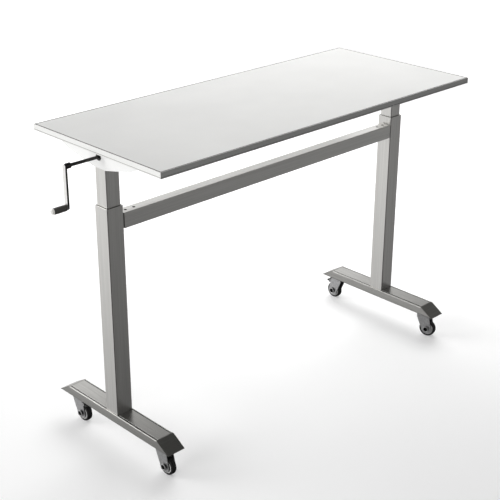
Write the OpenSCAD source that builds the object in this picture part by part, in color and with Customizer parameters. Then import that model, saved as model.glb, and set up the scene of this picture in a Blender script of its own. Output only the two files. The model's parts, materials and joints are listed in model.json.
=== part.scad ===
// Hand-crank sit-stand desk on castors. Millimetres, +Z up, front edge towards -Y.
// The origin is on the floor, in the middle of the whole footprint, crank included.

/* [Worktop] */
// Length of the worktop
top_l = 1400; // [1200:10:1800]
// Depth of the worktop
top_w = 600; // [500:10:800]
// Thickness of the worktop
top_t = 20; // [18:1:30]
// Thickness of the edge band
band_t = 2; // [1:0.5:3]

/* [Height] */
// Height of the worktop's upper face
desk_h = 1027; // [850:1:1150]
// Travel down from this height
travel_down = 115; // [60:5:140]
// Travel up from this height
travel_up = 235; // [150:5:260]
// Length of inner column kept in the outer column at the top of the travel
column_overlap = 150; // [100:5:180]
// Gap between a support bracket and its outer column at the bottom of the travel
low_gap = 7; // [3:1:20]

/* [Columns] */
// Distance from the worktop's ends to the columns' centres
column_inset = 45; // [38:1:200]
// Width of the outer column
outer_w = 60; // [58:1:80]
// Wall of the outer column
outer_wall = 2.5; // [2:0.1:3]
// Space between the outer and inner columns on each side, which the guides fill
column_play = 2.5; // [1.5:0.1:3]
// Wall of the inner column
inner_wall = 2; // [1.5:0.1:2.5]
// Height of the plastic guides
guide_h = 60; // [30:5:80]

/* [Feet] */
// Length of a foot along its underside
foot_l = 560; // [480:10:700]
// Length lost at each end of the upper face
foot_slant = 52; // [20:1:80]
// How far a foot stands out on each side of its column
foot_edge = 4; // [2:0.5:12]
// Height of a foot
foot_h = 32; // [28:1:40]
// Wall of a foot
foot_wall = 2.5; // [2:0.1:3.5]
// Thickness of the end plates
end_plate_t = 3; // [2:0.5:5]

/* [Beam] */
// Height of the beam
beam_h = 50; // [40:1:60]
// Depth of the beam
beam_d = 40; // [30:1:50]
// Wall of the beam
beam_wall = 2; // [1.5:0.1:3]
// Distance from the outer columns' upper ends down to the beam
beam_drop = 26.5; // [20:0.5:60]
// Gap between the beam and each column
beam_gap = 3; // [0.5:0.5:4]

/* [Support brackets] */
// Length of a bracket
bracket_l = 370; // [300:5:440]
// Depth of a bracket at its column
bracket_h = 50; // [46:1:55]
// Sheet thickness of a bracket
bracket_t = 2.5; // [2:0.1:3]

/* [Castors] */
// Diameter of a wheel
wheel_d = 63; // [50:1:80]
// Height of a castor above the top of its wheel
castor_crown = 34; // [28:1:40]
// Width of a wheel
wheel_w = 20; // [16:1:22]
// Distance from the swivel axis back to the axle
castor_trail = 22; // [20:1:32]
// Distance from a foot's tip to the castor
castor_inset = 64; // [47:1:80]
// Swivel angle of the right front castor
front_turn = 14; // [-30:1:30]
// Swivel angle of the right back castor
back_turn = 180; // [0:15:180]

/* [Drive] */
// Depth of the shaft's axis under the worktop
shaft_drop = 15; // [15:0.5:18]
// Diameter of the shafts
shaft_d = 10; // [8:1:12]
// Width across the flats of the cross rod
rod_af = 9; // [7:1:10]
// Diameter of the lead screws
screw_d = 16; // [14:1:20]
// Number of teeth on each mitre gear
teeth = 14; // [12:1:14]
// Module of the mitre gears
gear_m = 1.5; // [1.2:0.1:1.5]

/* [Crank] */
// Distance from the worktop's end to the crank's hub
crank_out = 84; // [40:1:120]
// Length of the hub
hub_l = 15; // [14:1:25]
// Diameter of the hub
hub_d = 17; // [15:1:22]
// Distance between the shaft and the grip
arm_l = 124; // [90:1:150]
// Width of the arm
arm_w = 15; // [13:1:20]
// Thickness of the arm
arm_t = 7; // [3:0.5:8]
// Length of the grip
grip_l = 47; // [40:1:80]
// Diameter of the grip
grip_d = 20; // [14:1:24]

/* [Fits] */
// Radial clearance of a shaft in its bore
run_gap = 0.05; // [0.02:0.01:0.1]
// Clearance of flat faces that slide or turn past each other
slide_gap = 0.3; // [0.2:0.05:0.4]

/* [Hidden] */
$fn = 48;

// Crank, outwards from the worktop's end
grip_gap = 1;
pin_head_t = 3;
pin_head_d = 14;
pin_d = 8;
crank_reach = crank_out + hub_l + arm_t + grip_gap + grip_l + pin_head_t;

// The crank stands out on the left, so the worktop's middle lies right of the origin
desk_x = crank_reach / 2;
column_gap = top_l - 2 * column_inset;
left_x = desk_x - column_gap / 2;
right_x = desk_x + column_gap / 2;
columns = [left_x, right_x];
top_end_x = desk_x - top_l / 2;
hub_x = top_end_x - crank_out;
arm_x = hub_x - hub_l;
grip_x = arm_x - arm_t - grip_gap;
pin_head_x = grip_x - grip_l;

// Heights
castor_h = wheel_d + castor_crown;
foot_z = castor_h;
foot_top_z = foot_z + foot_h;
under_z = desk_h - top_t;
column_top_z = under_z - travel_down - bracket_h - low_gap;
inner_top_z = under_z - bracket_t;
inner_bottom_z = column_top_z - travel_up - column_overlap;
beam_top_z = column_top_z - beam_drop;
shaft_z = under_z - shaft_drop;
arm_low_z = shaft_z - arm_l;

// Feet and columns and what fits in them
foot_w = outer_w + 2 * foot_edge;
foot_r = 1.5;
outer_l = column_top_z - foot_top_z;
outer_r = 3;
inner_r = 2.5;
outer_bore = outer_w - 2 * outer_wall;
inner_w = outer_bore - 2 * column_play;
inner_bore = inner_w - 2 * inner_wall;
plate_r = 1;
guide_r = 0.5;
base_plate_t = 8;
base_plate_top_z = foot_top_z + base_plate_t;
bolt_d = 8;
bolt_head_d = 14;
bolt_head_t = 5;
bolt_pitch = outer_bore - bolt_head_d - 5;
lip_t = 0.5;

// Gear housings and screw bearings, measured down from the shaft's axis
pitch_r = gear_m * teeth / 2;
gear_back = pitch_r + 7;
cavity_w = 2 * gear_back + 3;
cavity_r = 3;
cavity_z = shaft_z - gear_back - 1;
bearing_h = 10;
bearing_d = 28;
bearing_top_z = cavity_z - 12;
bearing_z = bearing_top_z - bearing_h;
housing_z = bearing_z - 8;
housing_gap = 0.2;
housing_w = inner_bore - 2 * housing_gap;

// Lead nuts, on tubes that reach up as far as the lowered housings allow
nut_wall = 4.5;
nut_tube_wall = 2.5;
nut_tube_d = screw_d + 2 * (nut_wall + nut_tube_wall);
nut_flange_t = 8;
nut_barrel_l = 24;
nut_margin = 20;
nut_top_z = housing_z - travel_down - nut_margin;
nut_tube_top_z = nut_top_z - nut_flange_t;
nut_bottom_z = nut_tube_top_z - nut_barrel_l;

// Lead screws
stop_l = 6;
stop_d = screw_d + 6;
stop_margin = 20;
screw_bottom_z = nut_bottom_z - travel_up - stop_margin;
screw_shoulder_z = bearing_z - slide_gap;
journal_d = 12;
neck_d = 8;

// Mitre gears: involute teeth drawn on the back cone and run to the apex
cone_l = pitch_r * sqrt(2);
face_l = 5.5;
face_scale = (cone_l - face_l) / cone_l;
virtual_r = cone_l;
base_r = virtual_r * cos(20);
tip_r = virtual_r + 0.85 * gear_m;
root_r = virtual_r - 1.25 * gear_m;
backlash = 0.4;
flank_steps = 5;
gear_hub_r = shaft_d / 2 + 3.5;
function flank_angle(r) = let (a = acos(min(1, base_r / max(r, base_r)))) tan(a) * 180 / PI - a;
half_tooth = (PI * gear_m / 2 - backlash) / (2 * virtual_r) * 180 / PI;
function tooth_angle(r) = half_tooth + flank_angle(virtual_r) - flank_angle(r);
flank = [
    for (i = [0 : flank_steps])
        let (r = root_r - 0.3 + (tip_r - root_r + 0.3) * i / flank_steps)
            [r * sin(tooth_angle(r)), r * cos(tooth_angle(r)) - virtual_r]
];
tooth_outline = concat(
    [for (p = flank) p],
    [for (i = [flank_steps : -1 : 0]) [-flank[i][0], flank[i][1]]]
);

// Shaft bushes, through the bracket, the inner column and the housing
bush_d = shaft_d + 6;
bush_flange_d = bush_d + 6;
bush_flange_t = 1.5;
bracket_x = inner_w / 2 + 0.25 + bracket_t;
bush_in_x = cavity_w / 2;
bush_out_x = bracket_x + bush_flange_t;

// Shafts and their couplings
coupling_l = 50;
coupling_d = shaft_d + 8;
coupling_x = inner_w / 2 + 45;
shaft_end = 2;
hex_d = rod_af / cos(30);

// Beam sockets and screws
socket_l = 70;
socket_wall = 3;
socket_gap = 0.3;
socket_d = beam_d - 2 * beam_wall - 2 * socket_gap;
socket_h = beam_h - 2 * beam_wall - 2 * socket_gap;
beam_y = (beam_d - outer_w) / 2;
beam_l = column_gap - outer_w - 2 * beam_gap;
beam_screw_x = [20, 52];
beam_screw_d = 5;
beam_screw_head_d = 10;
beam_screw_head_t = 2;
beam_screw_l = 12;
hex_key_d = 4;

// Support brackets: half of the side outline as [distance from the middle, depth]
bracket_end_run = 7;
bracket_end_h = 10;
bracket_nose_run = 40;
bracket_side = [
    [bracket_l / 2, 0],
    [bracket_l / 2 - bracket_end_run, bracket_end_h],
    [bracket_l / 2 - bracket_nose_run, bracket_h / 2],
    [outer_w / 2, bracket_h]
];
bracket_w = 2 * bracket_x;
wood_screw_y = [bracket_l / 2 - 110, bracket_l / 2 - 40];
wood_screw_d = 5;
wood_screw_l = 15;
wood_screw_head_d = 10;
wood_screw_head_t = 3;

// Castors: [column, side, swivel angle], measured down from the foot
stem_d = 10;
stem_nut_d = 19;
stem_nut_t = 8;
stem_head_t = 3;
stem_head_d = 18;
race_d = 44;
race_t = 6;
fork_top_t = 3;
fork_top_z = foot_z - race_t - slide_gap;
fork_leg_t = 2.5;
fork_gap = wheel_w + 5;
fork_w = fork_gap + 2 * fork_leg_t;
fork_front = 19;
fork_back = 24;
eye_r = 20;
axle_d = 8;
axle_head_t = 4;
axle_head_d = 13;
axle_z = wheel_d / 2;
tyre_t = 7;
tyre_bore_r = wheel_d / 2 - tyre_t;
tyre_round = 3;
wheel_rim_w = wheel_w - 3;
wheel_web_w = 8;
wheel_hub_w = fork_gap - 2 * slide_gap;
wheel_hub_r = 9;
wheel_rim_r = tyre_bore_r - 5.5;
pedal_pin_d = 4;
pedal_ear_r = 6;
pedal_back = 12;
pedal_gap = 6.5;
pedal_l = 21;
pedal_t = 3;
pedal_w = fork_gap - 2 * slide_gap;
pedal_y = -castor_trail - pedal_back;
pedal_z = wheel_d + pedal_gap;
castor_y = foot_l / 2 - castor_inset;

// Shared shapes
module round_rect(w, d, r) {
    square([w - 2 * r, d], center = true);
    square([w, d - 2 * r], center = true);
    for (x = [-1, 1], y = [-1, 1])
        translate([x * (w / 2 - r), y * (d / 2 - r)])
            circle(r);
}

module round_tube(w, d, wall, r) {
    difference() {
        round_rect(w, d, r);
        round_rect(w - 2 * wall, d - 2 * wall, max(r - wall, 0.4));
    }
}

module along_x(x0, x1) {
    translate([x0, 0, 0])
        rotate([0, 90, 0])
            linear_extrude(x1 - x0)
                children();
}

// Feet
module foot_envelope(x, inset) {
    run = sqrt(foot_slant * foot_slant + foot_h * foot_h) / foot_h * inset;
    half = foot_l / 2 - run;
    translate([x - foot_w, 0, foot_z])
        rotate([90, 0, 90])
            linear_extrude(2 * foot_w)
                polygon([
                    [-half, 0], [half, 0],
                    [half - foot_slant, foot_h], [foot_slant - half, foot_h]
                ]);
}

module foot(x) {
    color("darkgray")
        difference() {
            intersection() {
                translate([x, foot_l / 2, foot_z + foot_h / 2])
                    rotate([90, 0, 0])
                        linear_extrude(foot_l)
                            round_tube(foot_w, foot_h, foot_wall, foot_r);
                foot_envelope(x, end_plate_t);
            }
            for (y = [-1, 1]) {
                translate([x, y * castor_y, foot_z - 1])
                    cylinder(h = foot_wall + 2, d = stem_d);
                for (dx = [-1, 1])
                    translate([x + dx * bolt_pitch / 2, y * bolt_pitch / 2, foot_top_z - foot_wall - 1])
                        cylinder(h = foot_wall + 2, d = bolt_d);
            }
        }
}

module left_foot() { foot(left_x); }
module right_foot() { foot(right_x); }

module foot_end_plates() {
    color("dimgray")
        for (x = columns)
            difference() {
                intersection() {
                    translate([x, foot_l / 2, foot_z + foot_h / 2])
                        rotate([90, 0, 0])
                            linear_extrude(foot_l)
                                round_rect(foot_w, foot_h, foot_r);
                    foot_envelope(x, 0);
                }
                foot_envelope(x, end_plate_t);
            }
}

// Outer columns and what stands in them
module outer_column(x) {
    color("silver")
        translate([x, 0, foot_top_z])
            linear_extrude(outer_l)
                round_tube(outer_w, outer_w, outer_wall, outer_r);
}

module left_outer_column() { outer_column(left_x); }
module right_outer_column() { outer_column(right_x); }

module column_base_plates() {
    color("gray")
        for (x = columns)
            difference() {
                translate([x, 0, foot_top_z])
                    linear_extrude(base_plate_t)
                        round_rect(outer_bore, outer_bore, plate_r);
                for (dx = [-1, 1], dy = [-1, 1])
                    translate([x + dx * bolt_pitch / 2, dy * bolt_pitch / 2, foot_top_z - 1])
                        cylinder(h = base_plate_t + 2, d = bolt_d);
            }
}

module column_bolts() {
    color("dimgray")
        for (x = columns, dx = [-1, 1], dy = [-1, 1])
            translate([x + dx * bolt_pitch / 2, dy * bolt_pitch / 2, foot_top_z - foot_wall]) {
                translate([0, 0, -bolt_head_t])
                    cylinder(h = bolt_head_t, d = bolt_head_d, $fn = 6);
                cylinder(h = foot_wall + base_plate_t, d = bolt_d);
            }
}

module nut_tubes() {
    color("gray")
        for (x = columns)
            translate([x, 0, base_plate_top_z])
                difference() {
                    cylinder(h = nut_tube_top_z - base_plate_top_z, d = nut_tube_d);
                    translate([0, 0, -1])
                        cylinder(h = nut_tube_top_z, d = nut_tube_d - 2 * nut_tube_wall);
                }
}

module lead_nuts() {
    color("goldenrod")
        for (x = columns)
            translate([x, 0, nut_bottom_z])
                difference() {
                    union() {
                        cylinder(h = nut_barrel_l, d = nut_tube_d - 2 * nut_tube_wall);
                        translate([0, 0, nut_barrel_l])
                            cylinder(h = nut_flange_t, d = nut_tube_d);
                    }
                    translate([0, 0, -1])
                        cylinder(h = nut_barrel_l + nut_flange_t + 2, d = screw_d + 2 * run_gap);
                }
}

module upper_guides() {
    color("black")
        for (x = columns)
            translate([x, 0, column_top_z - lip_t - guide_h])
                linear_extrude(guide_h)
                    difference() {
                        round_rect(outer_bore, outer_bore, guide_r);
                        round_rect(inner_w + 2 * slide_gap, inner_w + 2 * slide_gap, inner_r);
                    }
}

// Beam
module beam_screw_places() {
    for (side = [-1, 1], x = beam_screw_x)
        translate([desk_x + side * (beam_l / 2 - x), beam_y, beam_top_z])
            children();
}

module beam_screw_body() {
    translate([0, 0, -beam_screw_l])
        cylinder(h = beam_screw_l, d = beam_screw_d);
    translate([0, 0, -beam_screw_head_t])
        cylinder(h = beam_screw_head_t, d1 = beam_screw_d, d2 = beam_screw_head_d);
}

module crossbeam() {
    color("silver")
        difference() {
            translate([0, beam_y, beam_top_z - beam_h / 2])
                along_x(desk_x - beam_l / 2, desk_x + beam_l / 2)
                    round_tube(beam_h, beam_d, beam_wall, 2);
            beam_screw_places()
                beam_screw_body();
        }
}

module beam_sockets() {
    color("gray")
        difference() {
            for (side = [-1, 1])
                translate([0, beam_y, beam_top_z - beam_h / 2])
                    along_x(
                        desk_x + side * (beam_l / 2 + beam_gap) - (side > 0 ? socket_l : 0),
                        desk_x + side * (beam_l / 2 + beam_gap) + (side > 0 ? 0 : socket_l)
                    )
                        round_tube(socket_h, socket_d, socket_wall, 1);
            beam_screw_places()
                beam_screw_body();
        }
}

module beam_screws() {
    color("black")
        beam_screw_places()
            difference() {
                beam_screw_body();
                translate([0, 0, -beam_screw_head_t])
                    cylinder(h = beam_screw_head_t + 1, d = hex_key_d, $fn = 6);
            }
}

// Worktop and brackets
module wood_screw_places() {
    for (x = columns, side = [-1, 1], y = wood_screw_y)
        translate([x, side * y, under_z])
            children();
}

module worktop() {
    color("gainsboro")
        difference() {
            translate([desk_x, 0, under_z + top_t / 2])
                cube([top_l - 2 * band_t, top_w - 2 * band_t, top_t], center = true);
            wood_screw_places()
                translate([0, 0, -1])
                    cylinder(h = wood_screw_l + 1, d = wood_screw_d);
        }
}

module edge_band() {
    color("whitesmoke")
        translate([desk_x, 0, under_z])
            linear_extrude(top_t)
                difference() {
                    square([top_l, top_w], center = true);
                    square([top_l - 2 * band_t, top_w - 2 * band_t], center = true);
                }
}

module bracket(x) {
    outline = concat(
        [for (p = bracket_side) [p[0], -p[1]]],
        [for (i = [len(bracket_side) - 1 : -1 : 0]) [-bracket_side[i][0], -bracket_side[i][1]]]
    );
    color("white")
        difference() {
            translate([x, 0, under_z]) {
                translate([-bracket_w / 2, -bracket_l / 2, -bracket_t])
                    cube([bracket_w, bracket_l, bracket_t]);
                for (dx = [-bracket_w / 2, bracket_w / 2 - bracket_t])
                    translate([dx, 0, 0])
                        rotate([90, 0, 90])
                            linear_extrude(bracket_t)
                                polygon(outline);
            }
            translate([0, 0, shaft_z])
                along_x(x - bracket_w, x + bracket_w)
                    circle(d = bush_d);
            for (side = [-1, 1], y = wood_screw_y)
                translate([x, side * y, under_z - bracket_t - 1])
                    cylinder(h = bracket_t + 2, d = wood_screw_d);
        }
}

module left_bracket() { bracket(left_x); }
module right_bracket() { bracket(right_x); }

module worktop_screws() {
    color("gray")
        wood_screw_places() {
            translate([0, 0, -bracket_t])
                cylinder(h = bracket_t + wood_screw_l, d = wood_screw_d);
            translate([0, 0, -bracket_t - wood_screw_head_t])
                cylinder(h = wood_screw_head_t, d = wood_screw_head_d);
        }
}

// Inner columns and gearboxes
module inner_column(x) {
    color("silver")
        difference() {
            translate([x, 0, inner_bottom_z])
                linear_extrude(inner_top_z - inner_bottom_z)
                    round_tube(inner_w, inner_w, inner_wall, inner_r);
            translate([0, 0, shaft_z])
                along_x(x - inner_w, x + inner_w)
                    circle(d = bush_d);
        }
}

module left_inner_column() { inner_column(left_x); }
module right_inner_column() { inner_column(right_x); }

module lower_guides() {
    color("black")
        for (x = columns)
            translate([x, 0, inner_bottom_z])
                linear_extrude(guide_h)
                    difference() {
                        round_rect(outer_bore - 2 * slide_gap, outer_bore - 2 * slide_gap, guide_r);
                        round_rect(inner_w, inner_w, inner_r);
                    }
}

module gear_housings() {
    color("gray")
        for (x = columns)
            difference() {
                translate([x, 0, housing_z])
                    linear_extrude(inner_top_z - housing_z)
                        round_rect(housing_w, housing_w, plate_r);
                translate([x, 0, cavity_z])
                    linear_extrude(shaft_drop + gear_back + 2)
                        round_rect(cavity_w, cavity_w, cavity_r);
                translate([x, 0, housing_z - 1])
                    cylinder(h = bearing_top_z - housing_z + 1, d = bearing_d);
                translate([x, 0, housing_z])
                    cylinder(h = cavity_z - housing_z + 1, d = journal_d + 1);
                translate([0, 0, shaft_z])
                    along_x(x - inner_w, x + inner_w)
                        circle(d = bush_d);
            }
}

module shaft_bushes() {
    color("black")
        for (x = columns, side = [-1, 1])
            translate([x, 0, shaft_z])
                rotate([0, side * 90, 0])
                    difference() {
                        union() {
                            translate([0, 0, bush_in_x])
                                cylinder(h = bush_out_x - bush_in_x, d = bush_d);
                            translate([0, 0, bracket_x])
                                cylinder(h = bush_flange_t, d = bush_flange_d);
                        }
                        translate([0, 0, bush_in_x - 1])
                            cylinder(h = bush_out_x, d = shaft_d + 2 * run_gap);
                    }
}

module screw_bearings() {
    color("lightgray")
        for (x = columns)
            translate([x, 0, bearing_z])
                difference() {
                    cylinder(h = bearing_h, d = bearing_d);
                    translate([0, 0, -1])
                        cylinder(h = bearing_h + 2, d = journal_d + 2 * run_gap);
                }
}

// Shafts and gears
module crank_shaft() {
    color("dimgray")
        translate([0, 0, shaft_z])
            along_x(arm_x, left_x + coupling_x)
                circle(d = shaft_d);
}

module stub_shaft() {
    color("dimgray")
        translate([0, 0, shaft_z])
            along_x(right_x - coupling_x, right_x + bush_out_x + shaft_end)
                circle(d = shaft_d);
}

module cross_rod() {
    color("gray")
        translate([0, 0, shaft_z])
            along_x(left_x + coupling_x, right_x - coupling_x)
                circle(d = hex_d, $fn = 6);
}

module shaft_couplings() {
    color("dimgray")
        for (side = [-1, 1])
            translate([side < 0 ? left_x + coupling_x : right_x - coupling_x, 0, shaft_z])
                difference() {
                    along_x(-coupling_l / 2, coupling_l / 2)
                        circle(d = coupling_d);
                    along_x(side < 0 ? -coupling_l : 0, side < 0 ? 0 : coupling_l)
                        circle(d = shaft_d);
                    along_x(side < 0 ? 0 : -coupling_l, side < 0 ? coupling_l : 0)
                        circle(d = hex_d, $fn = 6);
                }
}

// A mitre gear with its apex at the origin and its back towards -Z
module mitre_gear(bore) {
    root_out = [pitch_r, -pitch_r] - (virtual_r - root_r) / sqrt(2) * [1, 1];
    root_in = face_scale * root_out;
    difference() {
        union() {
            rotate_extrude()
                polygon([
                    [0, root_in[1]], root_in, root_out,
                    [gear_hub_r, root_out[1] - 1.5], [gear_hub_r, -gear_back], [0, -gear_back]
                ]);
            for (i = [0 : teeth - 1])
                rotate([0, 0, i * 360 / teeth])
                    translate([pitch_r, 0, -pitch_r])
                        rotate([0, -45, 0])
                            rotate([0, 0, -90])
                                linear_extrude(face_l, scale = face_scale)
                                    polygon(tooth_outline);
        }
        translate([0, 0, -gear_back - 1])
            cylinder(h = gear_back, d = bore);
    }
}

module drive_gears() {
    color("darkgray")
        for (x = columns)
            translate([x, 0, shaft_z])
                rotate([0, 90, 0])
                    rotate([0, 0, 180 / teeth])
                        mitre_gear(shaft_d);
}

module screw_gear(x) {
    color("darkgray")
        translate([x, 0, shaft_z])
            mitre_gear(neck_d);
}

module left_screw_gear() { screw_gear(left_x); }
module right_screw_gear() { screw_gear(right_x); }

module lead_screw(x) {
    neck_top = shaft_z + face_scale * (-pitch_r - (virtual_r - root_r) / sqrt(2));
    color("lightgray")
        translate([x, 0, 0]) {
            translate([0, 0, screw_bottom_z])
                cylinder(h = screw_shoulder_z - screw_bottom_z, d = screw_d);
            translate([0, 0, screw_shoulder_z])
                cylinder(h = shaft_z - gear_back - screw_shoulder_z, d = journal_d);
            translate([0, 0, shaft_z - gear_back])
                cylinder(h = neck_top - shaft_z + gear_back, d = neck_d);
        }
}

module left_lead_screw() { lead_screw(left_x); }
module right_lead_screw() { lead_screw(right_x); }

module stop_collar(x) {
    color("gray")
        translate([x, 0, screw_bottom_z])
            difference() {
                cylinder(h = stop_l, d = stop_d);
                translate([0, 0, -1])
                    cylinder(h = stop_l + 2, d = screw_d);
            }
}

module left_stop_collar() { stop_collar(left_x); }
module right_stop_collar() { stop_collar(right_x); }

// Crank
module crank_hub() {
    color("dimgray")
        translate([0, 0, shaft_z])
            difference() {
                along_x(arm_x, hub_x)
                    circle(d = hub_d);
                along_x(arm_x - 1, hub_x + 1)
                    circle(d = shaft_d);
            }
}

module crank_arm() {
    color("silver")
        difference() {
            translate([arm_x - arm_t, 0, 0])
                rotate([90, 0, 90])
                    linear_extrude(arm_t) {
                        translate([-arm_w / 2, arm_low_z])
                            square([arm_w, arm_l]);
                        for (z = [arm_low_z, shaft_z])
                            translate([0, z])
                                circle(d = arm_w);
                    }
            translate([0, 0, arm_low_z])
                along_x(arm_x - arm_t - 1, arm_x + 1)
                    circle(d = pin_d);
        }
}

module grip_pin() {
    color("silver")
        translate([0, 0, arm_low_z]) {
            along_x(pin_head_x, arm_x)
                circle(d = pin_d);
            along_x(pin_head_x - pin_head_t, pin_head_x - slide_gap)
                circle(d = pin_head_d);
            along_x(pin_head_x - slide_gap, pin_head_x)
                circle(d = pin_d);
        }
}

module crank_grip() {
    color("dimgray")
        translate([0, 0, arm_low_z])
            difference() {
                along_x(pin_head_x, grip_x)
                    circle(d = grip_d);
                along_x(pin_head_x - 1, grip_x + 1)
                    circle(d = pin_d + 2 * run_gap);
            }
}

// Castors
module castor_at(x, side, turn) {
    translate([x, side * castor_y, 0])
        rotate([0, 0, turn])
            children();
}

module all_castors() {
    for (x = columns, side = [-1, 1])
        castor_at(x, side, 0)
            children();
}

module castor_stems() {
    color("gray")
        all_castors() {
            translate([0, 0, fork_top_z - fork_top_t - slide_gap - stem_head_t])
                cylinder(h = stem_head_t, d = stem_head_d);
            translate([0, 0, fork_top_z - fork_top_t - slide_gap])
                cylinder(h = foot_z + foot_wall + stem_nut_t + 3 - fork_top_z + fork_top_t, d = stem_d);
            translate([0, 0, foot_z + foot_wall])
                cylinder(h = stem_nut_t, d = stem_nut_d, $fn = 6);
        }
}

module castor_races() {
    color("silver")
        all_castors()
            difference() {
                translate([0, 0, foot_z - race_t])
                    cylinder(h = race_t, d1 = race_d - 6, d2 = race_d);
                translate([0, 0, foot_z - race_t - 1])
                    cylinder(h = race_t + 2, d = stem_d);
            }
}

// Side of the fork: a broad shield that runs from under the race down over the wheel's hub
module fork_leg_outline(braked) {
    eye_out = [-castor_trail - eye_r * cos(10), axle_z + eye_r * sin(10)];
    eye_in = [-castor_trail + eye_r * cos(35), axle_z - eye_r * sin(35)];
    translate([-castor_trail, axle_z])
        circle(r = eye_r);
    polygon([
        [fork_front, fork_top_z], [-fork_back, fork_top_z], [-fork_back - 6, fork_top_z - 8],
        eye_out, [-castor_trail, axle_z], eye_in, [fork_front, fork_top_z - 14]
    ]);
    if (braked) {
        translate([pedal_y, pedal_z])
            circle(r = pedal_ear_r);
        translate([pedal_y, pedal_z - pedal_ear_r])
            square([pedal_ear_r + 6, 2 * pedal_ear_r]);
    }
}

module fork_solid(braked) {
    color("silver")
        difference() {
            union() {
                translate([0, 0, fork_top_z - fork_top_t])
                    cylinder(h = fork_top_t, d = race_d - 4);
                translate([-fork_w / 2, -fork_back, fork_top_z - fork_top_t])
                    cube([fork_w, fork_back + fork_front, fork_top_t]);
                for (x = [-fork_w / 2, fork_w / 2 - fork_leg_t])
                    translate([x, 0, 0])
                        rotate([90, 0, 90])
                            linear_extrude(fork_leg_t)
                                fork_leg_outline(braked);
            }
            translate([0, 0, fork_top_z - fork_top_t - 1])
                cylinder(h = fork_top_t + 2, d = stem_d + 2 * run_gap);
            translate([0, -castor_trail, axle_z])
                along_x(-fork_w, fork_w)
                    circle(d = axle_d);
            if (braked)
                translate([0, pedal_y, pedal_z])
                    along_x(-fork_w, fork_w)
                        circle(d = pedal_pin_d + 2 * run_gap);
        }
}

module axle_solid() {
    color("dimgray")
        translate([0, -castor_trail, axle_z]) {
            along_x(-fork_w / 2, fork_w / 2)
                circle(d = axle_d);
            for (x = [-fork_w / 2 - axle_head_t, fork_w / 2])
                along_x(x, x + axle_head_t)
                    circle(d = axle_head_d, $fn = 6);
        }
}

module wheel_solid() {
    color("silver")
        translate([0, -castor_trail, axle_z])
            rotate([0, 90, 0])
                rotate_extrude()
                    polygon([
                        [axle_d / 2 + run_gap, -wheel_hub_w / 2], [wheel_hub_r, -wheel_hub_w / 2],
                        [wheel_hub_r + 1, -wheel_web_w / 2], [wheel_rim_r, -wheel_web_w / 2],
                        [wheel_rim_r + 1, -wheel_rim_w / 2], [tyre_bore_r, -wheel_rim_w / 2],
                        [tyre_bore_r, wheel_rim_w / 2], [wheel_rim_r + 1, wheel_rim_w / 2],
                        [wheel_rim_r, wheel_web_w / 2], [wheel_hub_r + 1, wheel_web_w / 2],
                        [wheel_hub_r, wheel_hub_w / 2], [axle_d / 2 + run_gap, wheel_hub_w / 2]
                    ]);
}

module tyre_solid() {
    color("black")
        translate([0, -castor_trail, axle_z])
            rotate([0, 90, 0])
                rotate_extrude($fn = 96) {
                    translate([tyre_bore_r, -wheel_w / 2])
                        square([tyre_t - tyre_round, wheel_w]);
                    translate([tyre_bore_r, -wheel_w / 2 + tyre_round])
                        square([tyre_t, wheel_w - 2 * tyre_round]);
                    for (side = [-1, 1])
                        translate([wheel_d / 2 - tyre_round, side * (wheel_w / 2 - tyre_round)])
                            circle(tyre_round);
                }
}

module pedal_solid() {
    color("dimgray") {
        translate([0, pedal_y, pedal_z])
            along_x(-fork_w / 2, fork_w / 2)
                circle(d = pedal_pin_d);
        translate([-pedal_w / 2, pedal_y, pedal_z])
            rotate([90, 0, 90])
                linear_extrude(pedal_w) {
                    polygon([
                        [3, -pedal_t], [3, pedal_t], [-8, pedal_t],
                        [-pedal_l, pedal_t - 2], [-pedal_l, -2], [-13, -pedal_t],
                        [-11, -8], [-8, -8], [-5, -pedal_t]
                    ]);
                }
    }
}

module left_front_fork() { castor_at(left_x, -1, 0) fork_solid(false); }
module left_back_fork() { castor_at(left_x, 1, 0) fork_solid(true); }
module right_front_fork() { castor_at(right_x, -1, front_turn) fork_solid(false); }
module right_back_fork() { castor_at(right_x, 1, back_turn) fork_solid(true); }

module left_front_axle() { castor_at(left_x, -1, 0) axle_solid(); }
module left_back_axle() { castor_at(left_x, 1, 0) axle_solid(); }
module right_front_axle() { castor_at(right_x, -1, front_turn) axle_solid(); }
module right_back_axle() { castor_at(right_x, 1, back_turn) axle_solid(); }

module left_front_wheel() { castor_at(left_x, -1, 0) wheel_solid(); }
module left_back_wheel() { castor_at(left_x, 1, 0) wheel_solid(); }
module right_front_wheel() { castor_at(right_x, -1, front_turn) wheel_solid(); }
module right_back_wheel() { castor_at(right_x, 1, back_turn) wheel_solid(); }

module left_front_tyre() { castor_at(left_x, -1, 0) tyre_solid(); }
module left_back_tyre() { castor_at(left_x, 1, 0) tyre_solid(); }
module right_front_tyre() { castor_at(right_x, -1, front_turn) tyre_solid(); }
module right_back_tyre() { castor_at(right_x, 1, back_turn) tyre_solid(); }

module left_back_pedal() { castor_at(left_x, 1, 0) pedal_solid(); }
module right_back_pedal() { castor_at(right_x, 1, back_turn) pedal_solid(); }

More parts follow.
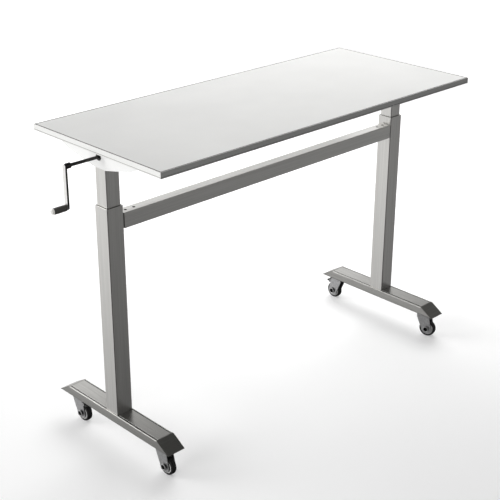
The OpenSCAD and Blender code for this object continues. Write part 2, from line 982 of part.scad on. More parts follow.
left_foot();
right_foot();
foot_end_plates();
left_outer_column();
right_outer_column();
column_base_plates();
column_bolts();
nut_tubes();
lead_nuts();
upper_guides();
crossbeam();
beam_sockets();
beam_screws();
castor_stems();
castor_races();
worktop();
edge_band();
left_bracket();
right_bracket();
worktop_screws();
left_inner_column();
right_inner_column();
lower_guides();
gear_housings();
shaft_bushes();
screw_bearings();
crank_shaft();
cross_rod();
stub_shaft();
shaft_couplings();
drive_gears();
crank_hub();
crank_arm();
grip_pin();
crank_grip();
left_lead_screw();
left_screw_gear();
left_stop_collar();
right_lead_screw();
right_screw_gear();
right_stop_collar();
left_front_fork();
left_front_axle();
left_front_wheel();
left_front_tyre();
left_back_fork();
left_back_axle();
left_back_wheel();
left_back_tyre();
left_back_pedal();
right_front_fork();
right_front_axle();
right_front_wheel();
right_front_tyre();
right_back_fork();
right_back_axle();
right_back_wheel();
right_back_tyre();
right_back_pedal();
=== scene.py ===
import json
import math

import bmesh
import bpy
from mathutils import Matrix, Vector


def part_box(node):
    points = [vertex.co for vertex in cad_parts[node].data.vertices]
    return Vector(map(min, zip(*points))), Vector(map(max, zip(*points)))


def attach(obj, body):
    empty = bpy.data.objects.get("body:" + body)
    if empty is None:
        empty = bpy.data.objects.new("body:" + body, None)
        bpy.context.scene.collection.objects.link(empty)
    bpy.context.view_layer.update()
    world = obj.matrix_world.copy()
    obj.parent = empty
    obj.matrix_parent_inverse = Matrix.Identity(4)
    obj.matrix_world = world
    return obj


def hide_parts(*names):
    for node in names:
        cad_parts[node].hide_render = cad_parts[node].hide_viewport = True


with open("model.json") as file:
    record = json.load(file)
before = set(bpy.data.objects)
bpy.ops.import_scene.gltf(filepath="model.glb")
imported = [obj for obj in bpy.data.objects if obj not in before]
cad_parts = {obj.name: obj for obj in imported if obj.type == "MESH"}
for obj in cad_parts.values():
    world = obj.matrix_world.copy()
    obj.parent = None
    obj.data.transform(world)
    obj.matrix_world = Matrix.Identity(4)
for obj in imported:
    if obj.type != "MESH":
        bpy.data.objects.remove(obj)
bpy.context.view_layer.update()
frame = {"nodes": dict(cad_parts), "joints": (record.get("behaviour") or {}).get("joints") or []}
mm = 0.001


def linear(hexColour, alpha=1.0):
    # sRGB hex, such as "#C8C8C6", to the linear numbers that sockets take
    channels = [int(hexColour[i:i + 2], 16) / 255 for i in (1, 3, 5)]
    return [c / 12.92 if c <= 0.04045 else ((c + 0.055) / 1.055) ** 2.4 for c in channels] + [alpha]


def addNode(material, kind, links=None, inputs=None, stops=(), **settings):
    # one node: settings are its own fields, inputs are fixed values, links are sockets of other nodes,
    # stops are the (place, colour) pairs of a colour ramp
    tree = material.node_tree
    node = tree.nodes.new("ShaderNode" + kind)
    for field, value in settings.items():
        setattr(node, field, value)
    for socket, value in (inputs or {}).items():
        node.inputs[socket].default_value = value
    for socket, source in (links or {}).items():
        tree.links.new(source, node.inputs[socket])
    for i, (at, colour) in enumerate(stops):  # the first two are the ramp's own ends
        stop = node.color_ramp.elements[i] if i < 2 else node.color_ramp.elements.new(at)
        stop.position, stop.color = at, colour
    return node


def emptyMaterial(name):
    material = bpy.data.materials.new(name)
    material.use_nodes = True
    material.node_tree.nodes.clear()
    return material


def newMaterial(name, **surface):
    # a material with its shader and output; surface holds fixed values for the shader's own sockets
    material = emptyMaterial(name)
    shader = addNode(material, "BsdfPrincipled", inputs=surface)
    addNode(material, "OutputMaterial", links={"Surface": shader.outputs[0]})
    return material, shader


laminateLook = {
    "light": "#D2D2D0", "dark": "#C6C6C4", "fleckMm": 1.6, "cloudMm": 260,
    "grainMm": 0.9, "grainDepthMm": 0.02, "roughness": 0.36,
}


def makeLaminate():
    # melamine laminate pressed on chipboard: a very even pale grey with faint flecks, and a fine matt grain
    # that spreads the reflections; real grain is about 0.2 mm across, drawn coarser here so that it shows
    look = laminateLook
    material, shader = newMaterial("greyMelamineLaminate", Roughness=look["roughness"])
    place = addNode(material, "TexCoord")
    grown = []
    for size, detail in ((look["fleckMm"], 3.0), (look["cloudMm"], 2.0), (look["grainMm"], 2.0)):
        spread = addNode(material, "Mapping", links={"Vector": place.outputs["Object"]},
                         inputs={"Scale": [1 / (size * mm)] * 3})
        grown.append(addNode(material, "TexNoise", links={"Vector": spread.outputs[0]},
                             inputs={"Scale": 1.0, "Detail": detail, "Roughness": 0.6}))
    fleck, cloud, grain = grown
    both = addNode(material, "Math", links={0: fleck.outputs[0], 1: cloud.outputs[0]}, operation="ADD")
    half = addNode(material, "Math", links={0: both.outputs[0]}, inputs={1: 0.5}, operation="MULTIPLY")
    colour = addNode(material, "ValToRGB", links={"Fac": half.outputs[0]},
                     stops=[(0.3, linear(look["dark"])), (0.7, linear(look["light"]))])
    bump = addNode(material, "Bump", links={"Height": grain.outputs[0]},
                   inputs={"Strength": 0.25, "Distance": look["grainDepthMm"] * mm})
    material.node_tree.links.new(colour.outputs[0], shader.inputs["Base Color"])
    material.node_tree.links.new(bump.outputs[0], shader.inputs["Normal"])
    return material


def makeMoulded(name, light, dark, roughness, grainMm, depthMm=0.05, ior=1.46):
    # moulded or sprayed skin: one colour with a fine grain, a little lighter on the high spots; real grain is
    # 0.1 to 0.5 mm across, drawn coarser here so that it shows
    material, shader = newMaterial(name, Roughness=roughness, IOR=ior)
    place = addNode(material, "TexCoord")
    spread = addNode(material, "Mapping", links={"Vector": place.outputs["Object"]},
                     inputs={"Scale": [1 / (grainMm * mm)] * 3})
    grain = addNode(material, "TexNoise", links={"Vector": spread.outputs[0]},
                    inputs={"Scale": 1.0, "Detail": 3.0})
    colour = addNode(material, "ValToRGB", links={"Fac": grain.outputs[0]},
                     stops=[(0.3, linear(dark)), (0.7, linear(light))])
    bump = addNode(material, "Bump", links={"Height": grain.outputs[0]},
                   inputs={"Strength": 0.4, "Distance": depthMm * mm})
    material.node_tree.links.new(colour.outputs[0], shader.inputs["Base Color"])
    material.node_tree.links.new(bump.outputs[0], shader.inputs["Normal"])
    return material


def makeBrushed(name, light, dark, along, gloss=(0.42, 0.3), streakMm=2.4, lengthMm=420):
    # metal rubbed with an abrasive belt: long streaks along the belt's way, each a little duller or brighter;
    # real streaks are about 0.1 mm wide, drawn wider here so that they show
    material, shader = newMaterial(name, Metallic=1.0)
    scale = [1 / (streakMm * mm)] * 3
    scale["xyz".index(along)] = 1 / (lengthMm * mm)
    place = addNode(material, "TexCoord")
    spread = addNode(material, "Mapping", links={"Vector": place.outputs["Object"]}, inputs={"Scale": scale})
    streak = addNode(material, "TexNoise", links={"Vector": spread.outputs[0]},
                     inputs={"Scale": 1.0, "Detail": 4.0, "Roughness": 0.65})
    colour = addNode(material, "ValToRGB", links={"Fac": streak.outputs[0]},
                     stops=[(0.3, linear(dark)), (0.7, linear(light))])
    dull = addNode(material, "MapRange", links={"Value": streak.outputs[0]},
                   inputs={"From Min": 0.3, "From Max": 0.7, "To Min": gloss[0], "To Max": gloss[1]})
    bump = addNode(material, "Bump", links={"Height": streak.outputs[0]},
                   inputs={"Strength": 0.12, "Distance": 0.05 * mm})
    material.node_tree.links.new(colour.outputs[0], shader.inputs["Base Color"])
    material.node_tree.links.new(dull.outputs[0], shader.inputs["Roughness"])
    material.node_tree.links.new(bump.outputs[0], shader.inputs["Normal"])
    return material


def makePlated(name, light, dark, roughness, patchMm=14):
    # turned, pressed or cast metal with a plated or oiled skin: soft patches where it took differently
    material, shader = newMaterial(name, Metallic=1.0)
    place = addNode(material, "TexCoord")
    spread = addNode(material, "Mapping", links={"Vector": place.outputs["Object"]},
                     inputs={"Scale": [1 / (patchMm * mm)] * 3})
    patch = addNode(material, "TexNoise", links={"Vector": spread.outputs[0]},
                    inputs={"Scale": 1.0, "Detail": 5.0, "Roughness": 0.6})
    colour = addNode(material, "ValToRGB", links={"Fac": patch.outputs[0]},
                     stops=[(0.3, linear(dark)), (0.7, linear(light))])
    dull = addNode(material, "MapRange", links={"Value": patch.outputs[0]},
                   inputs={"From Min": 0.3, "From Max": 0.7, "To Min": roughness + 0.08,
                           "To Max": roughness - 0.04})
    material.node_tree.links.new(colour.outputs[0], shader.inputs["Base Color"])
    material.node_tree.links.new(dull.outputs[0], shader.inputs["Roughness"])
    return material


print("materials")
laminate = makeLaminate()
# ABS band, extruded and trimmed: the same grey as the board but without flecks, so the edge reads as one
# clean strip
edgeBandAbs = makeMoulded("edgeBandAbs", "#D2D2D0", "#CACAC8", 0.38, 2.0, 0.02)
# hot melt glue squeezed into the joint, coloured dark as painted shade of the gap between band and board: the
# thin line that outlines the board
glueAndGapShade = makeMoulded("darkGlueAndGapShade", "#4A4947", "#3E3D3B", 0.6, 1.5, 0.02)
# the backing sheet's edge, rubbed into the band: a faint grey line along its lower part
underLine = makeMoulded("greyBackingLine", "#8E8D8B", "#7E7D7B", 0.6, 1.5, 0.02)
# stainless tube brushed lengthways: reflections smear along the tube, so each face shades evenly from end to
# end; the feet are brushed in shorter, wider streaks and look a darker grey
steelUpright = makeBrushed("brushedSteelUpright", "#D6D5D2", "#C6C5C2", "z")
steelAcross = makeBrushed("brushedSteelAcross", "#D8D7D4", "#C8C7C4", "x")
steelFoot = makeBrushed("brushedSteelFoot", "#ABAAA7", "#9A9996", "y", (0.38, 0.26), 3.2, 90)
# steel plate ground across its width, duller than the tube beside it; its darker grey is painted shade for
# the end faces, which turn away from the light
shadedEndPlateSteel = makeBrushed("groundEndPlateShaded", "#9C9B97", "#8A8986", "x", (0.5, 0.4), 1.6, 60)
# painted shade in the foot's seams: a matt dark line with no shine
seamShade = makeMoulded("paintedSeamShade", "#121212", "#0A0A0A", 0.8, 1.5, 0.02)
# baked powder coat: clean white with a faint orange peel that blurs its shine
powderWhite = makeMoulded("whitePowderCoat", "#DADAD9", "#D4D4D3", 0.42, 1.4, 0.06, ior=1.5)
# turned and burnished dark steel: nearly black, with one soft highlight along the round; on the crank arm's
# sides this near black is painted shade
darkSteelAndArmShade = makePlated("burnishedDarkSteelAndArmShade", "#4A4948", "#383736", 0.34, 9)
# satin nickel over flat bar: pale and mirror-soft on the broad side, dark where it meets the dark room; on
# the crank arm's outer face the pale tone is painted light
nickelAndLitFace = makePlated("satinNickelAndLitArmFace", "#E8E7E5", "#DCDBD8", 0.3, 22)
# pressed steel with bright zinc plate: a light, slightly cloudy metal
zincPlate = makePlated("brightZincPressing", "#C2C2C2", "#A4A4A5", 0.36, 8)
# black oxide on socket screws: dead black dots; the same black is painted shade in the castors' hub recesses
blackOxideAndShade = makePlated("blackOxideAndRecessShade", "#161616", "#0E0E0E", 0.5, 3)
# cold rolled steel as it comes, under a film of oil: mid grey with faint cloudy patches
rawSteel = makePlated("oiledRolledSteel", "#8C8B89", "#767573", 0.4, 26)
# turned leaded bronze: warm brown yellow, satin
bronze = makePlated("turnedLeadedBronze", "#B08A4C", "#96733C", 0.36, 10)
# zinc cast in a die: light grey, grainy and a little blotchy
castZinc = makePlated("dieCastZinc", "#9C9C9C", "#868686", 0.45, 6)
# ground and rolled screw steel: the brightest metal inside the columns
groundSteel = makePlated("groundScrewSteel", "#C4C4C2", "#B0B0AE", 0.22, 12)
# glass filled nylon, moulded with a light texture: dark grey and soft in its shine
gripNylon = makeMoulded("mouldedGripNylon", "#62615D", "#504F4C", 0.4, 0.8)
# plain nylon cap of the grip, smoother and paler than its sleeve
capNylon = makeMoulded("mouldedCapNylon", "#DDDCD9", "#D1D0CD", 0.35, 0.8, 0.03)
# black nylon of glides, bushes and pedals, moulded: black with a dull sheen
glideNylon = makeMoulded("mouldedGlideNylon", "#232323", "#191919", 0.5, 0.8, 0.04)
# grey polyamide wheel, moulded: light and even, so the wheel's rim stands out from its tyre
wheelNylon = makeMoulded("mouldedWheelNylon", "#B9B9B8", "#A6A6A5", 0.4, 1.0, 0.04)
# cast rubber tread: matt black with a fine tooth
tyreRubber = makeMoulded("castTyreRubber", "#1C1C1C", "#121212", 0.62, 0.7, 0.05, ior=1.52)


def addPiece(name, mesh, material, body, stands=()):
    piece = bpy.data.objects.new(name, mesh)
    bpy.context.scene.collection.objects.link(piece)
    mesh.materials.clear()
    mesh.materials.append(material)
    # big faces keep their flat shading beside rounded edges
    piece.modifiers.new("flatFaces", "WEIGHTED_NORMAL").keep_sharp = True
    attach(piece, body)
    if stands:
        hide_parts(*stands)
    return piece


def finishMesh(name, bm, smoothDegrees=35):
    bmesh.ops.recalc_face_normals(bm, faces=bm.faces)
    mesh = bpy.data.meshes.new(name)
    bm.to_mesh(mesh)
    bm.free()
    for face in mesh.polygons:
        face.use_smooth = True
    mesh.set_sharp_from_angle(angle=math.radians(smoothDegrees))
    return mesh


def roundEdges(bm, widthMm, segments=2, sharpDegrees=32):
    sharp = [e for e in bm.edges
             if len(e.link_faces) == 2 and e.calc_face_angle() > math.radians(sharpDegrees)]
    bmesh.ops.bevel(bm, geom=sharp, offset=widthMm * mm, segments=segments, profile=0.5,
                    affect="EDGES", clamp_overlap=True)


def softenedCopy(node, widthMm, segments=2):
    # the CAD piece with its real broken edges, which catch the light
    bm = bmesh.new()
    bm.from_mesh(frame["nodes"][node].data)
    bmesh.ops.remove_doubles(bm, verts=bm.verts, dist=0.002 * mm)
    bmesh.ops.dissolve_limit(bm, angle_limit=math.radians(0.5), verts=bm.verts, edges=bm.edges)
    roundEdges(bm, widthMm, segments)
    return finishMesh(node + "Soft", bm)


def cutFlat(bm, point, normal):
    # removes what lies beyond the plane and closes the cut
    cut = bmesh.ops.bisect_plane(bm, geom=bm.verts[:] + bm.edges[:] + bm.faces[:], plane_co=point,
                                 plane_no=normal, clear_outer=True)
    bmesh.ops.holes_fill(bm, edges=[e for e in cut["geom_cut"] if isinstance(e, bmesh.types.BMEdge)])


def lathe(name, outline, centre, axis, steps=64):
    # outline: [distance along the axis, radius] in mm; a radius of 0 closes the end
    bm = bmesh.new()
    rings = []
    for along, radius in outline:
        if radius <= 0:
            rings.append([bm.verts.new((0, 0, along * mm))])
            continue
        rings.append([bm.verts.new((radius * mm * math.cos(2 * math.pi * i / steps),
                                    radius * mm * math.sin(2 * math.pi * i / steps), along * mm))
                      for i in range(steps)])
    closed = outline[0][1] > 0 and outline[-1][1] > 0
    pairs = list(zip(rings, rings[1:])) + ([(rings[-1], rings[0])] if closed else [])
    for a, b in pairs:
        for i in range(steps):
            j = (i + 1) % steps
            corners = [a[i % len(a)], a[j % len(a)], b[j % len(b)], b[i % len(b)]]
            corners = [v for k, v in enumerate(corners) if v not in corners[:k]]
            if len(corners) > 2:
                bm.faces.new(corners)
    turn = Vector((0, 0, 1)).rotation_difference(Vector(axis)).to_matrix().to_4x4()
    bmesh.ops.transform(bm, matrix=Matrix.Translation(centre) @ turn, verts=bm.verts)
    return finishMesh(name, bm)


def sweep(name, outline, along, start, end):
    # a closed outline in the two other axes, in metres, run along one axis
    bm = bmesh.new()
    order = {"x": (1, 2, 0), "y": (0, 2, 1), "z": (0, 1, 2)}[along]

    def place(p, q, at):
        spot = [0, 0, 0]
        spot[order[0]], spot[order[1]], spot[order[2]] = p, q, at
        return bm.verts.new(spot)

    near = [place(p, q, start) for p, q in outline]
    far = [place(p, q, end) for p, q in outline]
    for i in range(len(outline)):
        j = (i + 1) % len(outline)
        bm.faces.new([near[i], near[j], far[j], far[i]])
    bm.faces.new(near)
    bm.faces.new(far)
    return bm


def middle(node):
    low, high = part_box(node)
    return (low + high) / 2


worktop = {
    # the glue keys size the dark strip of glue and painted gap shade along the joint
    "arrisMm": 0.6, "glueShadeWideMm": 4.0, "glueShadeOverBandMm": 0.6, "glueShadeDeepMm": 0.3, "glueShadeDownMm": 0.05,
    "sheetUpMm": 3.4, "sheetLineMm": 1.8, "grooveMm": 0.4, "sheetInMm": 0.1, "chamferMm": 0.4, "gapMm": 0.02,
}


def rectLoops(name, levels, low, high, ring=False):
    # rectangles of (inset, height) in mm, stacked; a ring joins the last to the first, otherwise the ends are
    # closed
    bm = bmesh.new()
    loops = []
    for inset, z in levels:
        i = inset * mm
        left, front, right, back = low.x + i, low.y + i, high.x - i, high.y - i
        loops.append([bm.verts.new((x, y, z * mm))
                      for x, y in ((left, front), (right, front), (right, back), (left, back))])
    for a, b in list(zip(loops, loops[1:])) + ([(loops[-1], loops[0])] if ring else []):
        for k in range(4):
            bm.faces.new([a[k], a[(k + 1) % 4], b[(k + 1) % 4], b[k]])
    if not ring:
        bm.faces.new(loops[0])
        bm.faces.new(loops[-1])
    return finishMesh(name, bm)


def stripLoops(name, near, far, under, over, low, high):
    # a strip that runs round the worktop, from one inset to the other and from one height to the other
    return rectLoops(name, [(near, under), (near, over), (far, over), (far, under)], low, high, ring=True)


def makeWorktop():
    low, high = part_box("edge_band")
    bandMm = (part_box("worktop")[0].x - low.x) / mm
    bottom, top = low.z / mm, high.z / mm
    arris, deep, line = worktop["arrisMm"], worktop["glueShadeDeepMm"], worktop["sheetLineMm"]
    gap, down, chamfer, groove = (worktop[key] for key in ("gapMm", "glueShadeDownMm", "chamferMm", "grooveMm"))
    sheet = bottom + worktop["sheetUpMm"]
    # the dark line of glue and painted gap shade lies partly over the band, the rest over the board
    outer = bandMm - worktop["glueShadeOverBandMm"]
    inner = outer + worktop["glueShadeWideMm"]
    shelf = top - deep
    board = rectLoops("worktopBoard", [
        (bandMm + chamfer, bottom), (bandMm, bottom + chamfer), (bandMm, shelf), (inner, shelf),
        (inner + 0.1, top)], low, high)
    rounded = [(arris, 0), (arris * 0.3, arris * 0.3), (0, arris)]  # inset and distance from the band's end
    bandLoops = [(bandMm - gap, bottom)] + [(inset, bottom + z) for inset, z in rounded]
    bandLoops += [(0, sheet), (groove, sheet), (groove, sheet + line), (0, sheet + line)]
    bandLoops += [(inset, top - z) for inset, z in reversed(rounded)]
    bandLoops += [(outer, top), (outer, shelf), (bandMm - gap, shelf)]
    band = rectLoops("worktopEdgeBand", bandLoops, low, high, ring=True)
    # a dark strip of glue and painted gap shade along the joint
    glueShadeStrip = stripLoops("worktopGlueAndGapShade", outer + down, inner - down, shelf + gap, top - down, low, high)
    under = stripLoops("worktopUnderLine", worktop["sheetInMm"], groove - gap, sheet + gap,
                       sheet + line - gap, low, high)
    pieces = [addPiece("worktopBoard", board, laminate, "lift", ["worktop"]),
              addPiece("worktopEdgeBand", band, edgeBandAbs, "lift", ["edge_band"]),
              addPiece("worktopGlueAndGapShade", glueShadeStrip, glueAndGapShade, "lift"),
              addPiece("worktopUnderLine", under, underLine, "lift")]
    # the studio lights the desk from below as well, so its top casts no shadow
    for piece in pieces:
        piece.visible_shadow = False


print("worktop")
makeWorktop()

tubes = {"edgeMm": 2.6, "edgeSteps": 3}


def makeColumns():
    edge, steps = tubes["edgeMm"], tubes["edgeSteps"]
    for side in ("left", "right"):
        addPiece(side + "OuterTube", softenedCopy(side + "_outer_column", edge, steps), steelUpright, "frame",
                 [side + "_outer_column"])
        addPiece(side + "InnerTube", softenedCopy(side + "_inner_column", edge, steps), steelUpright, "lift",
                 [side + "_inner_column"])
    addPiece("beamTube", softenedCopy("crossbeam", edge, steps), steelAcross, "frame",
             ["crossbeam"])


print("columns and beam")
makeColumns()

foot = {
    "cornerMm": 3.6, "cornerSteps": 4, "seamInMm": 3.9, "seamWideMm": 4.0, "seamDeepMm": 1.0,
    # shares of the seam: its slanted sides, and the shade filling's own margin, floor and top
    "seamSide": 0.2, "fillMargin": 0.06, "fillFloor": 0.95, "fillTop": 0.2,
    "slantMm": 52, "plateMm": 3, "plateEdgeMm": 0.5,
}


def footOutline(low, high):
    # the section seen along the foot: round corners, and near each upper edge the seam of the top sheet
    r, seam, wide, deep = (foot[key] * mm for key in ("cornerMm", "seamInMm", "seamWideMm", "seamDeepMm"))
    side, steps = wide * foot["seamSide"], foot["cornerSteps"]

    def corner(cx, cz, first):
        turns = [math.radians(first + step * 90 / steps) for step in range(steps + 1)]
        return [(cx + r * math.cos(a), cz + r * math.sin(a)) for a in turns]

    def groove(start):
        return [(start, high.z), (start - side, high.z - deep), (start - wide + side, high.z - deep),
                (start - wide, high.z)]

    return (corner(high.x - r, low.z + r, -90) + corner(high.x - r, high.z - r, 0)
            + groove(high.x - seam) + groove(low.x + seam + wide)
            + corner(low.x + r, high.z - r, 90) + corner(low.x + r, low.z + r, 180))


def footSeamShades(side, low, high, reach):
    # dark strips of painted shade that fill the two seams, a little below the sheet
    strips = bmesh.new()
    seam, wide, deep = (foot[key] * mm for key in ("seamInMm", "seamWideMm", "seamDeepMm"))
    margin = wide * foot["fillMargin"]
    heights = (high.z - deep * foot["fillFloor"], high.z - deep * foot["fillTop"])
    for start in (low.x + seam, high.x - seam - wide):
        left, right = start + margin, start + wide - margin
        corners = [strips.verts.new((x, y, z)) for z in heights
                   for x, y in ((left, -reach), (right, -reach), (right, reach), (left, reach))]
        for face in ((0, 1, 2, 3), (4, 5, 6, 7), (0, 1, 5, 4), (1, 2, 6, 5), (2, 3, 7, 6), (3, 0, 4, 7)):
            strips.faces.new([corners[k] for k in face])
    return finishMesh(side + "FootSeamShade", strips)


def makeFeet():
    plateLow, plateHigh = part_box("foot_end_plates")
    slant = foot["slantMm"] * mm
    height = plateHigh.z - plateLow.z
    run = math.hypot(slant, height) / height * foot["plateMm"] * mm  # the slanted plate, measured along Y
    for side in ("left", "right"):
        low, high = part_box(side + "_foot")
        outline = footOutline(low, high)
        bm = sweep(side, outline, "y", plateLow.y, plateHigh.y)
        for sign in (-1, 1):
            cutFlat(bm, Vector((0, sign * (plateHigh.y - run), low.z)),
                    Vector((0, sign * (high.z - low.z), slant)))
        addPiece(side + "FootShell", finishMesh(side + "FootShell", bm), steelFoot, "frame",
                 [side + "_foot"])
        # the seams' dark filling is painted shade
        addPiece(side + "FootSeamShade", footSeamShades(side, low, high, plateHigh.y - run - slant), seamShade,
                 "frame")
    # the end plates' darker grey is painted shade
    addPiece("footEndPlates", softenedCopy("foot_end_plates", foot["plateEdgeMm"]), shadedEndPlateSteel, "frame",
             ["foot_end_plates"])


print("feet")
makeFeet()

castor = {
    "forkEdgeMm": 0.6, "axleEdgeMm": 0.5, "steps": 72, "ringOutMm": 11.8, "ringInMm": 8.2, "ringThickMm": 1.4,
    "recessMm": 7.9, "recessThickMm": 0.4,
}


def castorPlace(name):
    # the wheel's centre and its axle's direction, from the joint that it rolls on
    joint = next(j for j in frame["joints"] if j["name"] == name + "_roll")
    return Vector(joint["pos_m"]), Vector(joint["axis"])


def wheelOutline():
    # half of a moulded wheel, inwards from the hub's end: hub, dished web, bright rim lip
    half = [(12.2, 4.2), (12.2, 8.0), (11.6, 8.8), (4.6, 10.0), (3.6, 11.0), (3.6, 17.0), (4.6, 18.2),
            (8.2, 19.4), (9.0, 20.2), (9.0, 23.2), (8.6, 24.0)]
    return half + [(-a, r) for a, r in reversed(half)]


def tyreOutline():
    # a soft round shoulder and two fine grooves in the tread
    half = [(8.4, 24.3), (9.7, 24.9), (10.0, 26.2), (9.6, 28.6), (8.4, 30.3), (6.4, 31.2), (4.2, 31.5),
            (3.9, 30.7), (3.2, 30.7), (2.9, 31.5), (1.2, 31.5)]
    return half + [(-a, r) for a, r in reversed(half)]


def makeHubRings(name, centre, axis):
    # a pressed ring round the axle's bolt and, inside it, a black disc of painted shade for the recess, on
    # both legs of the fork
    low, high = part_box("left_front_fork")
    face = (high.x - low.x) / 2 / mm
    out, bore, thick = castor["ringOutMm"], castor["ringInMm"], castor["ringThickMm"]
    recess, back = castor["recessMm"], face + castor["recessThickMm"]
    ring = [(face, bore), (face, out), (face + thick * 0.7, out - 0.3), (face + thick, out - 1.0),
            (face + thick, bore + 0.8), (face + thick * 0.6, bore)]
    recessShadeDisc = [(face, 0), (face, recess), (back, recess), (back, 0)]
    for side, way in (("Left", -1), ("Right", 1)):
        addPiece(name + side + "HubRing",
                 lathe(name + side + "HubRing", ring, centre, axis * way, castor["steps"]),
                 zincPlate, name + "_swivel")
        # the recess is a thin black disc: painted shade
        addPiece(name + side + "HubRecessShade", lathe(name + side + "HubRecessShade", recessShadeDisc, centre, axis * way),
                 blackOxideAndShade, name + "_swivel")


def makeCastors():
    for name in ("left_front", "left_back", "right_front", "right_back"):
        centre, axis = castorPlace(name)
        addPiece(name + "WheelBody", lathe(name + "WheelBody", wheelOutline(), centre, axis, castor["steps"]),
                 wheelNylon, name + "_roller", [name + "_wheel"])
        addPiece(name + "TyreRing", lathe(name + "TyreRing", tyreOutline(), centre, axis, castor["steps"]),
                 tyreRubber, name + "_roller", [name + "_tyre"])
        addPiece(name + "ForkPressing", softenedCopy(name + "_fork", castor["forkEdgeMm"]), zincPlate,
                 name + "_swivel", [name + "_fork"])
        makeHubRings(name, centre, axis)
        addPiece(name + "AxleBolt", softenedCopy(name + "_axle", castor["axleEdgeMm"]), darkSteelAndArmShade,
                 name + "_swivel", [name + "_axle"])


print("castors")
makeCastors()

bracket = {"edgeMm": 0.6}


def makeBrackets():
    for side in ("left", "right"):
        addPiece(side + "BracketSheet", softenedCopy(side + "_bracket", bracket["edgeMm"]), powderWhite,
                 "lift", [side + "_bracket"])


crank = {
    "armEdgeMm": 0.7, "armEdgeSteps": 3, "facePlateMm": 0.9, "pinEdgeMm": 0.5, "hubEdgeMm": 0.8,
    "gripBoreMm": 4.06, "gripFullerMm": 0.35, "gripSteps": 12,
    "capLongMm": 2.2, "capHoleMm": 6.4, "capGapMm": 0.1,
}


def makeGrip():
    low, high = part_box("crank_grip")
    length = (high.x - low.x) / mm
    radius = (high.z - low.z) / 2 / mm
    bore, fuller, steps = crank["gripBoreMm"], crank["gripFullerMm"], crank["gripSteps"]
    capLong, hole = crank["capLongMm"], crank["capHoleMm"]
    cap = [(0, hole), (0, radius - 0.9), (0.5, radius - 0.3), (capLong, radius - 0.3), (capLong, hole)]
    start = capLong + crank["capGapMm"]
    first, last = start + 0.6, length - 2.0  # where the sleeve's rounded ends meet its long middle
    outline = [(start, bore), (start, radius - 0.6), (first, radius - 0.1)]
    for i in range(1, steps):  # a slightly fuller middle, as moulded grips have
        outline.append((first + (last - first) * i / steps, radius - fuller * (2 * i / steps - 1) ** 2))
    outline += [(last, radius - 0.1), (length - 0.7, radius - 0.6), (length, radius - 1.6), (length, bore)]
    centre = Vector((low.x, middle("crank_grip").y, middle("crank_grip").z))
    addPiece("gripSleeve", lathe("gripSleeve", outline, centre, (1, 0, 0)), gripNylon, "grip",
             ["crank_grip"])
    addPiece("gripEndCap", lathe("gripEndCap", cap, centre, (1, 0, 0)), capNylon, "grip")


def makeCrank():
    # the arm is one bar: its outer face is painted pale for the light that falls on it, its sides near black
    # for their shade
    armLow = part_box("crank_arm")[0].x
    for name, outer, material in (("crankArmLitFace", True, nickelAndLitFace), ("crankArmShadedSides", False, darkSteelAndArmShade)):
        bm = bmesh.new()
        bm.from_mesh(softenedCopy("crank_arm", crank["armEdgeMm"], crank["armEdgeSteps"]))
        cutFlat(bm, Vector((armLow + crank["facePlateMm"] * mm, 0, 0)), Vector((1 if outer else -1, 0, 0)))
        addPiece(name, finishMesh(name, bm), material, "crank",
                 () if outer else ["crank_arm"])
    addPiece("gripPinTurned", softenedCopy("grip_pin", crank["pinEdgeMm"]), nickelAndLitFace, "crank",
             ["grip_pin"])
    addPiece("crankHubTurned", softenedCopy("crank_hub", crank["hubEdgeMm"]), darkSteelAndArmShade, "crank",
             ["crank_hub"])


print("brackets and crank")
makeBrackets()
makeGrip()
makeCrank()

finishes = {
    "column_base_plates": rawSteel, "column_bolts": blackOxideAndShade, "nut_tubes": rawSteel, "lead_nuts": bronze,
    "upper_guides": glideNylon, "lower_guides": glideNylon,
    "beam_sockets": rawSteel, "beam_screws": blackOxideAndShade,
    "castor_stems": zincPlate, "castor_races": zincPlate, "worktop_screws": zincPlate,
    "gear_housings": castZinc, "shaft_bushes": glideNylon, "screw_bearings": groundSteel,
    "crank_shaft": darkSteelAndArmShade, "cross_rod": rawSteel, "stub_shaft": darkSteelAndArmShade, "shaft_couplings": darkSteelAndArmShade,
    "drive_gears": rawSteel, "left_screw_gear": rawSteel, "right_screw_gear": rawSteel,
    "left_lead_screw": groundSteel, "right_lead_screw": groundSteel,
    "left_stop_collar": rawSteel, "right_stop_collar": rawSteel,
    "left_back_pedal": glideNylon, "right_back_pedal": glideNylon,
}


def paintKept():
    for node, material in finishes.items():
        mesh = frame["nodes"][node].data
        mesh.materials.clear()
        mesh.materials.append(material)


print("kept pieces")
paintKept()

camera = {
    "place": (-2.4355, -2.5054, 2.0665), "yaw": -44.3, "pitch": -24.0, "roll": 0.2, "lens": 80.68,
    "sensorMm": 36,
}


def makeCamera():
    data = bpy.data.cameras.new("camera")
    data.lens = camera["lens"]
    data.sensor_width = camera["sensorMm"]
    view = bpy.data.objects.new("camera", data)
    bpy.context.scene.collection.objects.link(view)
    turn = (Matrix.Rotation(math.radians(camera["yaw"]), 4, "Z")
            @ Matrix.Rotation(math.radians(90 + camera["pitch"]), 4, "X")
            @ Matrix.Rotation(math.radians(camera["roll"]), 4, "Z"))
    view.matrix_world = Matrix.Translation(camera["place"]) @ turn
    bpy.context.scene.camera = view


floorLook = {
    "size": 60, "diffuse": "#E0E0E0",
    "turn": 44,  # degrees round from the desk, so that the fades run along the view
    "nearAt": -1.2, "nearGlow": 0.2, "farAt": 3.6, "farGlow": 0.7, "rightAt": 0.7, "rightShadowDepth": 0.05,
}


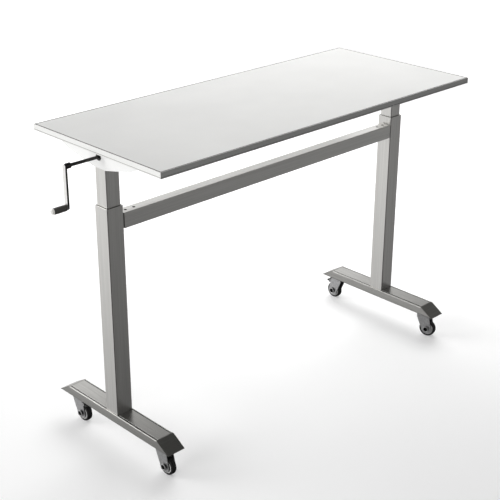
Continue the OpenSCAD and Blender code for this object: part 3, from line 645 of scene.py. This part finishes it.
def makeFloor():
    bm = bmesh.new()
    bmesh.ops.create_grid(bm, x_segments=4, y_segments=4, size=floorLook["size"] / 2)
    floor = bpy.data.objects.new("floor", finishMesh("floor", bm))
    bpy.context.scene.collection.objects.link(floor)
    # seamless paper with a painted glow for the light on it: brighter far away, and a little darker at the
    # end without the crank, a painted shadow of the desk
    material = emptyMaterial("studioPaper")
    place = addNode(material, "TexCoord")
    turned = addNode(material, "Mapping", links={"Vector": place.outputs["Object"]},
                     inputs={"Rotation": (0, 0, math.radians(floorLook["turn"]))})
    split = addNode(material, "SeparateXYZ", links={0: turned.outputs[0]})
    away = addNode(material, "MapRange", links={"Value": split.outputs["Y"]}, interpolation_type="SMOOTHSTEP",
                   inputs={"From Min": floorLook["nearAt"], "From Max": floorLook["farAt"],
                           "To Min": floorLook["nearGlow"], "To Max": floorLook["farGlow"]})
    # painted shadow: the glow falls off towards the end without the crank
    across = addNode(material, "MapRange", links={"Value": split.outputs["X"]},
                     interpolation_type="SMOOTHSTEP",
                     inputs={"From Min": 0.0, "From Max": floorLook["rightAt"], "To Min": 0.0,
                             "To Max": floorLook["rightShadowDepth"]})
    level = addNode(material, "Math", links={0: away.outputs[0], 1: across.outputs[0]}, operation="SUBTRACT")
    glow = addNode(material, "Emission", links={"Strength": level.outputs[0]})
    paper = addNode(material, "BsdfDiffuse", inputs={"Color": linear(floorLook["diffuse"])})
    both = addNode(material, "AddShader", links={0: glow.outputs[0], 1: paper.outputs[0]})
    addNode(material, "OutputMaterial", links={"Surface": both.outputs[0]})
    floor.data.materials.append(material)
    floor.visible_glossy = False
    floor.visible_diffuse = False


lights = {
    # name: place, point it faces, width and height in metres, power in watts
    "overheadSoftbox": ((1.7, 1.1, 2.7), (0.5, 0.2, 1.0), 2.4, 2.4, 67),
    "leftSoftbox": ((-4.4, -0.2, 0.6), (0, 0, 0.6), 2.2, 1.0, 120),
}
# how bright the studio is: around the desk from its front, -Y, to its back, and from under it to over it;
# the stops run from 0 to 1 along each way
room = {
    "around": [(0.0, 0.14), (1.0, 1.15), (0.12, 0.28), (0.24, 0.28), (0.32, 0.42), (0.55, 0.6), (0.85, 1.1)],
    "upwards": [(0.16, 0.08), (0.9, 0.28), (0.23, 0.45), (0.32, 1.12), (0.5, 1.05), (0.6, 1.5), (0.72, 1.5),
                (0.765, 0.78)],
    # dark stands that rounded corners pick up as thin lines, and a strip light at the back left
    "cards": [
        {"towards": (-0.7, -0.6, -0.39), "from": 0.78, "to": 0.93, "level": 0.1},
        {"towards": (0.6, -0.4, 0.68), "from": 0.85, "to": 0.95, "level": 0.25},
        {"towards": (-0.51, 0.68, 0.53), "from": 0.93, "to": 0.985, "level": 4.5},
    ],
}


def makeLights():
    for name, (place, target, width, height, power) in lights.items():
        data = bpy.data.lights.new(name, "AREA")
        data.shape = "RECTANGLE"
        data.size, data.size_y, data.energy = width, height, power
        light = bpy.data.objects.new(name, data)
        bpy.context.scene.collection.objects.link(light)
        light.location = place
        light.visible_glossy = False  # the metal mirrors the studio's walls, not the lamps
        light.rotation_euler = (Vector(target) - Vector(place)).to_track_quat("-Z", "Y").to_euler()
    world = bpy.data.worlds.new("studio")
    bpy.context.scene.world = world
    world.use_nodes = True
    background = world.node_tree.nodes["Background"]
    place = addNode(world, "TexCoord")
    split = addNode(world, "SeparateXYZ", links={0: place.outputs["Generated"]})
    ways = []
    for axis, key in (("Y", "around"), ("Z", "upwards")):
        along = addNode(world, "MapRange", links={"Value": split.outputs[axis]}, inputs={"From Min": -1.0})
        ways.append(addNode(world, "ValToRGB", links={"Fac": along.outputs[0]},
                            stops=[(at, [level] * 3 + [1]) for at, level in room[key]]))
    walls, level = ways
    for card in room["cards"]:
        facing = addNode(world, "VectorMath", links={0: place.outputs["Generated"]},
                         inputs={1: card["towards"]}, operation="DOT_PRODUCT")
        dimmer = addNode(world, "MapRange", links={"Value": facing.outputs["Value"]},
                         interpolation_type="SMOOTHSTEP",
                         inputs={"From Min": card["from"], "From Max": card["to"], "To Min": 1.0,
                                 "To Max": card["level"]})
        level = addNode(world, "Math", links={0: level.outputs[0], 1: dimmer.outputs[0]},
                        operation="MULTIPLY")
    world.node_tree.links.new(walls.outputs[0], background.inputs["Color"])
    world.node_tree.links.new(level.outputs[0], background.inputs["Strength"])


print("studio")
makeCamera()
makeFloor()
makeLights()
bpy.context.scene.view_settings.view_transform = "Standard"
